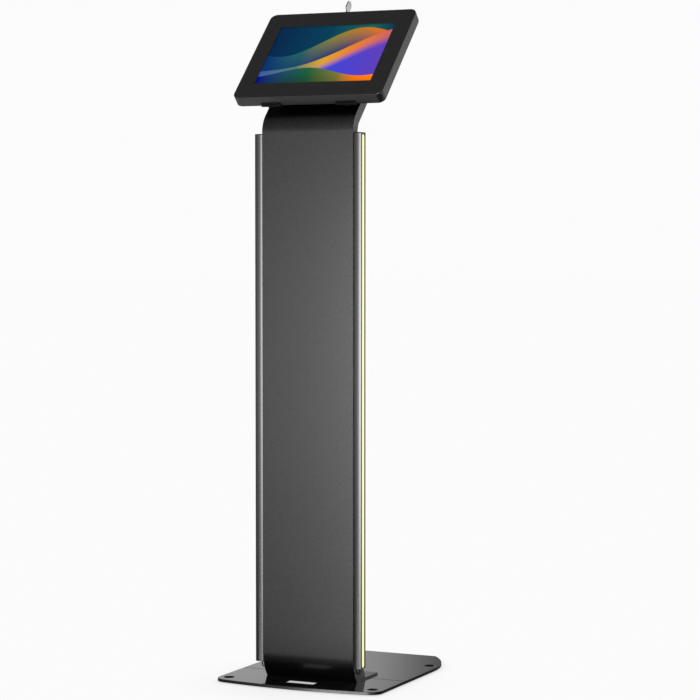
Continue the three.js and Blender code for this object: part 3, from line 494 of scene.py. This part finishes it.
def display():
    """The lit screen: an abstract picture of soft overlapping waves, from blue to orange."""
    g = Graph("display")
    at = g.position()
    low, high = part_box("tablet_display")
    half = (high[0] - low[0]) / 2
    u = g.math("DIVIDE", g.axis(at, ACROSS, SCREEN_CENTRE), half)
    v = g.math("DIVIDE", g.axis(at, UP_FACE, SCREEN_CENTRE), half)

    def above_wave(level, slope, height, stretch, shift):
        """How far a point lies above a wavy line across the screen."""
        swing = g.math("SINE", g.math("MULTIPLY_ADD", u, stretch, shift))
        line = g.math("MULTIPLY_ADD", swing, height, g.math("MULTIPLY_ADD", u, slope, level))
        return g.math("SUBTRACT", v, line)

    def lay(under, colour, mask):
        """Lays a colour over a picture where the mask is above zero."""
        return g.mix(g.remap(mask, -0.006, 0.006, 0.0, 1.0), under, colour)

    across = g.remap(u, -1.0, 1.0, 0.0, 1.0)
    picture = g.ramp(across, SKY_COLOURS)

    high_wave = above_wave(0.32, 0.2, 0.2, 3.0, 0.4)
    shade = g.remap(high_wave, -0.5, 0.0, 0.0, 1.0)
    far = g.ramp(across, FAR_WAVE_COLOURS)
    picture = lay(picture, g.mix(shade, (0.0, 0.03, 0.16), far), g.math("MULTIPLY", high_wave, -1.0))

    main_wave = above_wave(0.02, 0.42, 0.12, 2.6, -0.9)
    depth = g.remap(main_wave, -0.42, 0.0, 0.0, 1.0)
    warm = g.ramp(across, WARM_WAVE_COLOURS)
    cool = g.ramp(across, COOL_WAVE_COLOURS)
    body = g.mix(g.remap(depth, 0.1, 0.75, 0.0, 1.0, smooth=True), cool, warm)
    picture = lay(picture, body, g.math("MULTIPLY", main_wave, -1.0))

    low_wave = above_wave(-0.4, -0.02, 0.1, 3.4, 2.2)
    ground = g.ramp(across, LOW_WAVE_COLOURS)
    lift = g.remap(low_wave, -0.3, 0.0, 0.7, 1.25)
    picture = lay(picture, g.scaled_colour(ground, lift), g.math("MULTIPLY", low_wave, -1.0))

    return g.surface(
        Base_Color=(0.002, 0.002, 0.002),
        Roughness=0.3,
        Specular_IOR_Level=0.0,
        Emission_Color=picture,
        Emission_Strength=1.0,
    )


MATERIALS = {
    "powder_coat": powder_coat(),
    "satin_black": satin_black(),
    "gloss_black": gloss_black(),
    "anodised": anodised(),
    "dark_cap": dark_cap(),
    "rubber": rubber(),
    "light": light(),
    "circuit": circuit(),
    "steel": steel(),
    "dark_steel": dark_steel(),
    "tablet_shell": tablet_shell(),
    "tablet_glass": tablet_glass(),
    "display": display(),
}
HINGE_BLACK = hinge_black()


def material_of(node):
    return HINGE_BLACK if node.endswith("_leaf") else MATERIALS[SLOT_OF[node]]


# ---- Finished copies of the CAD nodes ----

SHARP = math.radians(25)  # edges that turn more than this are rounded
FLAT = math.radians(0.6)  # faces that turn less than this are merged
SMOOTH = math.radians(32)  # edges that turn less than this are shaded as one surface

COVER_MIDDLE = middle("front_cover")
COVER_ROUNDING = 1.5 * MM
COVER_OTHER_EDGES = 0.35 * MM
FACE_LEVEL = max(v.co.dot(OUT_OF_FACE) for v in NODES["front_cover"].data.vertices)
RIM_ACROSS = 120 * MM  # the cover's rim lies further out than these, and its window further in
RIM_UPWARD = 90 * MM
COLUMN_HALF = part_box("column_channel")[1][0]
COLUMN_ROUNDING = 1.6 * MM
COLUMN_OTHER_EDGES = 0.3 * MM
PLAIN_EDGE = 0.25 * MM
EDGE_WIDTHS = {
    "base_front_plate": 0.6 * MM,
    "base_rear_plate": 0.6 * MM,
    "foot_plate": 0.4 * MM,
    "left_rail": 0.5 * MM,
    "right_rail": 0.5 * MM,
    "left_rail_cap": 0.5 * MM,
    "right_rail_cap": 0.5 * MM,
    "power_supply": 2 * MM,
    "key": 0.4 * MM,
    "tablet_body": 0.8 * MM,
}


def fold_angle(edge):
    """How far the surface turns across an edge: below 0 on an inward one, 0 on an open one."""
    if len(edge.link_faces) != 2:
        return 0.0
    return edge.calc_face_angle_signed(0.0)


def edge_width(node, edge):
    """The rounding of a convex edge, in metres."""
    start, end = (v.co for v in edge.verts)
    if node == "front_cover":
        on_face = min(start.dot(OUT_OF_FACE), end.dot(OUT_OF_FACE)) > FACE_LEVEL - 0.1 * MM
        across = min(abs(start.x), abs(end.x))
        upward = min(abs((p - COVER_MIDDLE).dot(UP_FACE)) for p in (start, end))
        on_rim = across > RIM_ACROSS or upward > RIM_UPWARD
        return COVER_ROUNDING if on_face and on_rim else COVER_OTHER_EDGES
    if node == "column_channel":
        side = min(abs(start.x), abs(end.x)) > COLUMN_HALF - 0.05 * MM
        lengthwise = abs(start.x - end.x) < 0.05 * MM
        rounded = side and lengthwise and is_face_edge(edge)
        return COLUMN_ROUNDING if rounded else COLUMN_OTHER_EDGES
    return EDGE_WIDTHS.get(node, PLAIN_EDGE)


def is_face_edge(edge):
    """True on the column's front corners: one side of the edge looks forwards or down the bend."""
    return any(abs(f.normal.x) < 0.5 and f.normal.y < -0.3 for f in edge.link_faces)


def joined_faces(source):
    """A mesh copy whose coplanar triangles are merged into whole faces."""
    bm = bmesh.new()
    bm.from_mesh(source)
    bmesh.ops.remove_doubles(bm, verts=bm.verts, dist=1e-6)
    bmesh.ops.dissolve_limit(bm, angle_limit=FLAT, verts=bm.verts, edges=bm.edges)
    return bm


def placed(name, bm):
    """A new object in the scene, made from a bmesh."""
    mesh = bpy.data.meshes.new(name)
    bm.to_mesh(mesh)
    bm.free()
    piece = bpy.data.objects.new(name, mesh)
    bpy.context.scene.collection.objects.link(piece)
    return piece


def baked(obj):
    """Replaces an object's modifiers by their result."""
    bpy.context.view_layer.update()
    graph = bpy.context.evaluated_depsgraph_get()
    result = bpy.data.meshes.new_from_object(obj.evaluated_get(graph))
    obj.modifiers.clear()
    obj.data = result


def finished(node):
    """A rounded, smooth-shaded copy of a CAD node, in its place."""
    bm = joined_faces(NODES[node].data)
    weights = bm.edges.layers.float.new("bevel_weight_edge")
    widest = 0.0
    widths = {}
    for edge in bm.edges:
        if fold_angle(edge) > SHARP:
            widths[edge] = edge_width(node, edge)
            widest = max(widest, widths[edge])
    for edge, width in widths.items():
        edge[weights] = width / widest
    piece = placed(node + "_finished", bm)
    if widest > 0:
        bevel = piece.modifiers.new("bevel", "BEVEL")
        bevel.limit_method = "WEIGHT"
        bevel.width = widest
        bevel.segments = 3
        bevel.use_clamp_overlap = True
    baked(piece)
    piece.data.shade_smooth()
    piece.data.set_sharp_from_angle(angle=SMOOTH)
    weighted = piece.modifiers.new("weighted", "WEIGHTED_NORMAL")
    weighted.weight = 100
    weighted.keep_sharp = True
    baked(piece)
    return piece


def cable(node):
    """A smooth round copy of a faceted cable."""
    bm = joined_faces(NODES[node].data)
    bmesh.ops.join_triangles(
        bm,
        faces=bm.faces,
        angle_face_threshold=math.radians(40),
        angle_shape_threshold=math.radians(60),
    )
    piece = placed(node + "_finished", bm)
    smooth = piece.modifiers.new("smooth", "SUBSURF")
    smooth.levels = 1
    baked(piece)
    piece.data.shade_smooth()
    return piece


# The other cables keep the CAD's exact line, because one passes close to a moving piece.
SMOOTHED_CABLES = ("left_rail_cable", "right_rail_cable")


def finish_nodes():
    for node in sorted(NODES):
        piece = cable(node) if node in SMOOTHED_CABLES else finished(node)
        piece.data.materials.clear()
        piece.data.materials.append(material_of(node))
        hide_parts(node)
        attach(piece, BODY_OF[node])


# ---- Studio ----

PALE = 0.97
FLOOR_RADIUS = 40
FLOOR_DROP = 0.5 * MM  # the floor lies this far under the rubber pads
FLOOR_SHADE_REACH = 220 * MM


def floor():
    """A plain pale floor that glows the same tone as the backdrop, with a painted shadow only close
    around the kiosk.
    """
    bpy.ops.mesh.primitive_circle_add(
        vertices=96, radius=FLOOR_RADIUS, fill_type="NGON", location=(0, 0, -FLOOR_DROP)
    )
    disc = bpy.context.object
    disc.name = "studio_floor"
    g = Graph("studio_floor")
    # Painted shadow: ambient occlusion darkens the glowing floor near the kiosk.
    shade = g.add("ShaderNodeAmbientOcclusion", samples=8)
    shade.inputs["Distance"].default_value = FLOOR_SHADE_REACH
    grain = g.remap(g.noise(g.position(), 30, 2), 0.2, 0.8, 0.995, 1.0)
    floor_painted_shadow = g.remap(shade.outputs["AO"], 0.3, 1.0, 0.72, 1.0)
    tone = g.math("MULTIPLY", g.math("MULTIPLY", floor_painted_shadow, grain), PALE)
    glow = g.add("ShaderNodeEmission")
    g.link(tone, glow.inputs["Color"])
    g.link(glow.outputs[0], g.output.inputs["Surface"])
    disc.data.materials.append(g.material)
    disc.visible_glossy = False
    disc.visible_diffuse = False


CARD_RADIUS = 2.5
CARD_STEPS = 180
CARD_STRENGTH = 10.0
LOW_CARD_STRENGTH = 25.0
CARD_TOP = 1.45
CARD_BOTTOM = -0.41
LOW_CARD_BOTTOM = -0.5
RAIL_CARD_SCALE = 0.96  # its radius against the other cards', so that it stands in front of them
# The curved card's brightness by direction: degrees from the front (-Y) towards the right (+X).
CARD_GLOW = [
    (-180, 0.01),
    (-164, 0.015),
    (-161.3, 0.023),
    (-159.5, 0.043),
    (-157.5, 0.064),
    (-149, 0.081),
    (-140, 0.08),
    (-120, 0.04),
    (-90, 0.05),
    (-65, 0.065),
    (-45, 0.1),
    (-30, 0.115),
    (-20, 0.14),
    (-8, 0.1),
    (2, 0.07),
    (60, 0.05),
    (120, 0.05),
    (145, 0.1),
    (165, 0.1),
]
# A brighter card to the right of the camera, for the rails, the head's cover and the key alone.
RAIL_GLOW = [
    (-180, 0.0),
    (-20, 0.01),
    (-8, 0.08),
    (2, 0.2),
    (8, 0.23),
    (12, 0.38),
    (15, 0.56),
    (22, 0.64),
    (28, 1.35),
    (36, 1.35),
    (44, 0.25),
    (60, 0.01),
    (90, 0.0),
]
RAIL_CARD_SHOWS_ON = [
    "left_rail_finished",
    "right_rail_finished",
    "front_cover_finished",
    "key_finished",
]
# The same for a narrow band below the curved card, which only upright faces low down reflect.
LOW_GLOW = [
    (-180, 0.008),
    (-60, 0.018),
    (-45, 0.022),
    (-35, 0.055),
    (-27, 0.12),
    (-21, 0.3),
    (-16, 0.8),
    (-10, 1.0),
    (0, 0.8),
    (20, 0.2),
    (60, 0.05),
    (90, 0.008),
]


def light_only(source, names):
    """Keeps a light or a card from every piece but these."""
    lit = bpy.data.collections.new(source.name + "_lights")
    for name in names:
        lit.objects.link(bpy.data.objects[name])
    source.light_linking.receiver_collection = lit


def ring(radius, bottom, top):
    """An upright cylinder wall round the kiosk."""
    bm = bmesh.new()
    rows = []
    for height in (bottom, top):
        turns = [2 * math.pi * i / CARD_STEPS for i in range(CARD_STEPS)]
        places = [(radius * math.cos(a), radius * math.sin(a), height) for a in turns]
        rows.append([bm.verts.new(place) for place in places])
    low, high = rows
    for i in range(CARD_STEPS):
        j = (i + 1) % CARD_STEPS
        bm.faces.new((low[i], high[i], high[j], low[j]))
    return bm


def card_light(name, directions, strength, see_through):
    """A card's light: by direction, and dimmer up and down."""
    g = Graph(name)
    at = g.position()
    turn = g.math("ARCTAN2", g.axis(at, (1, 0, 0)), g.axis(at, (0, -1, 0)))
    round_it = g.remap(turn, -math.pi, math.pi, 0.0, 1.0)
    glow = g.ramp(round_it, [((a + 180) / 360, (v, v, v)) for a, v in directions])
    height = g.axis(at, (0, 0, 1))
    below = g.remap(height, -0.35, 0.45, 0.42, 1.0, smooth=True)
    above = g.remap(height, 0.5, 1.15, 1.0, 0.7, smooth=True)
    light_out = g.add("ShaderNodeEmission")
    g.link(glow, light_out.inputs["Color"])
    g.link(g.math("MULTIPLY", g.math("MULTIPLY", below, above), strength), light_out.inputs["Strength"])
    result = light_out
    if see_through:
        result = g.add("ShaderNodeAddShader")
        g.link(light_out.outputs[0], result.inputs[0])
        g.link(g.add("ShaderNodeBsdfTransparent").outputs[0], result.inputs[1])
    g.link(result.outputs[0], g.output.inputs["Surface"])
    return g.material


def curved_card(name, radius, bottom, top, directions, strength, only=None):
    """A ring of light round the kiosk, seen only in reflections.
    A ring for some pieces only is see-through, so that it hides nothing from the others."""
    card = placed(name, ring(radius, bottom, top))
    card.data.materials.append(card_light(name, directions, strength, only is not None))
    if only is not None:
        light_only(card, only)
    card.visible_camera = False
    card.visible_diffuse = False
    card.visible_transmission = False
    card.visible_shadow = False


def cards():
    curved_card("curved_card", CARD_RADIUS, CARD_BOTTOM, CARD_TOP, CARD_GLOW, CARD_STRENGTH)
    curved_card("low_card", CARD_RADIUS, LOW_CARD_BOTTOM, CARD_BOTTOM, LOW_GLOW, LOW_CARD_STRENGTH)
    near = RAIL_CARD_SCALE * CARD_RADIUS
    curved_card("rail_card", near, CARD_BOTTOM, CARD_TOP, RAIL_GLOW, CARD_STRENGTH, RAIL_CARD_SHOWS_ON)


def studio_world():
    """A pale backdrop for the camera, and a dim room for everything that is lit or reflects:
    a pale floor to the lower left, a soft horizon behind and a dark ceiling."""
    world = bpy.data.worlds.new("studio")
    bpy.context.scene.world = world
    world.use_nodes = True
    g = Graph("studio", world.node_tree, "ShaderNodeOutputWorld")
    way = g.add("ShaderNodeTexCoord").outputs["Generated"]
    x = g.axis(way, (1, 0, 0))
    back = g.axis(way, (0, 1, 0))
    up = g.axis(way, (0, 0, 1))
    ground_left = g.remap(x, -0.3, 0.35, 0.68, 0.02, smooth=True)
    ground = g.math("MULTIPLY", ground_left, g.remap(back, -0.45, -0.1, 0.01, 1.0, smooth=True))
    horizon = g.remap(back, -0.3, 0.3, 0.1, 0.75, smooth=True)
    ceiling = 0.07
    low_sky = g.remap(up, 0.02, 0.35, 1.0, 0.0, smooth=True)
    sky = g.math("ADD", g.math("MULTIPLY", horizon, low_sky), ceiling)
    is_sky = g.remap(up, -0.25, -0.08, 0.0, 1.0, smooth=True)
    is_ground = g.math("SUBTRACT", 1.0, is_sky)
    room = g.math("ADD", g.math("MULTIPLY", sky, is_sky), g.math("MULTIPLY", ground, is_ground))
    lighting = g.add("ShaderNodeBackground")
    g.link(room, lighting.inputs["Color"])
    seen = g.add("ShaderNodeBackground")
    seen.inputs["Color"].default_value = (PALE, PALE, PALE, 1)
    choose = g.add("ShaderNodeMixShader")
    g.link(g.add("ShaderNodeLightPath").outputs["Is Camera Ray"], choose.inputs[0])
    g.link(lighting.outputs[0], choose.inputs[1])
    g.link(seen.outputs[0], choose.inputs[2])
    g.link(choose.outputs[0], g.output.inputs["Surface"])


def softbox(name, location, target, width, height, watts, only=None):
    """A rectangular light that points at target, for the matt part of the shading."""
    data = bpy.data.lights.new(name, "AREA")
    data.shape = "RECTANGLE"
    data.size = width
    data.size_y = height
    data.energy = watts
    lamp = bpy.data.objects.new(name, data)
    lamp.location = location
    aim = Vector(target) - Vector(location)
    lamp.rotation_euler = aim.to_track_quat("-Z", "Y").to_euler()
    lamp.visible_camera = False
    lamp.visible_glossy = False
    bpy.context.scene.collection.objects.link(lamp)
    if only is not None:
        light_only(lamp, only)


def studio_lights():
    softbox("overhead", (-0.5, -3.0, 5.5), (0, -0.1, 0.4), 2.5, 2.5, 110)
    softbox("key_right", (2.6, -2.4, 1.8), (0, -0.1, 0.9), 1.2, 1.8, 16)
    softbox("fill_left", (-2.6, -1.8, 1.8), (0, -0.1, 0.9), 1.2, 1.8, 6)
    softbox("rear", (0.6, 2.8, 1.6), (0, 0, 0.6), 1.6, 1.6, 60)
    column = ["column_channel_finished"]
    softbox("column_strip", (0.36, -0.3, 0.5), (-0.02, -0.125, 0.45), 0.15, 0.8, 18, column)


CAMERA_PLACE = (1.8103, -3.8672, 0.7955)
CAMERA_TURN = math.radians(24.78)
CAMERA_DOWN = math.radians(2.79)
CAMERA_LENS = 121.52


def camera():
    """Stands to the right of the kiosk, a little below the screen's height, with a long lens."""
    data = bpy.data.cameras.new("camera")
    data.lens = CAMERA_LENS
    data.sensor_width = 36
    data.clip_end = 100
    stand = bpy.data.objects.new("camera", data)
    stand.location = CAMERA_PLACE
    stand.rotation_euler = (math.pi / 2 - CAMERA_DOWN, 0, CAMERA_TURN)
    bpy.context.scene.collection.objects.link(stand)
    bpy.context.scene.camera = stand


finish_nodes()
floor()
cards()
studio_world()
studio_lights()
camera()
bpy.context.scene.view_settings.view_transform = "Standard"
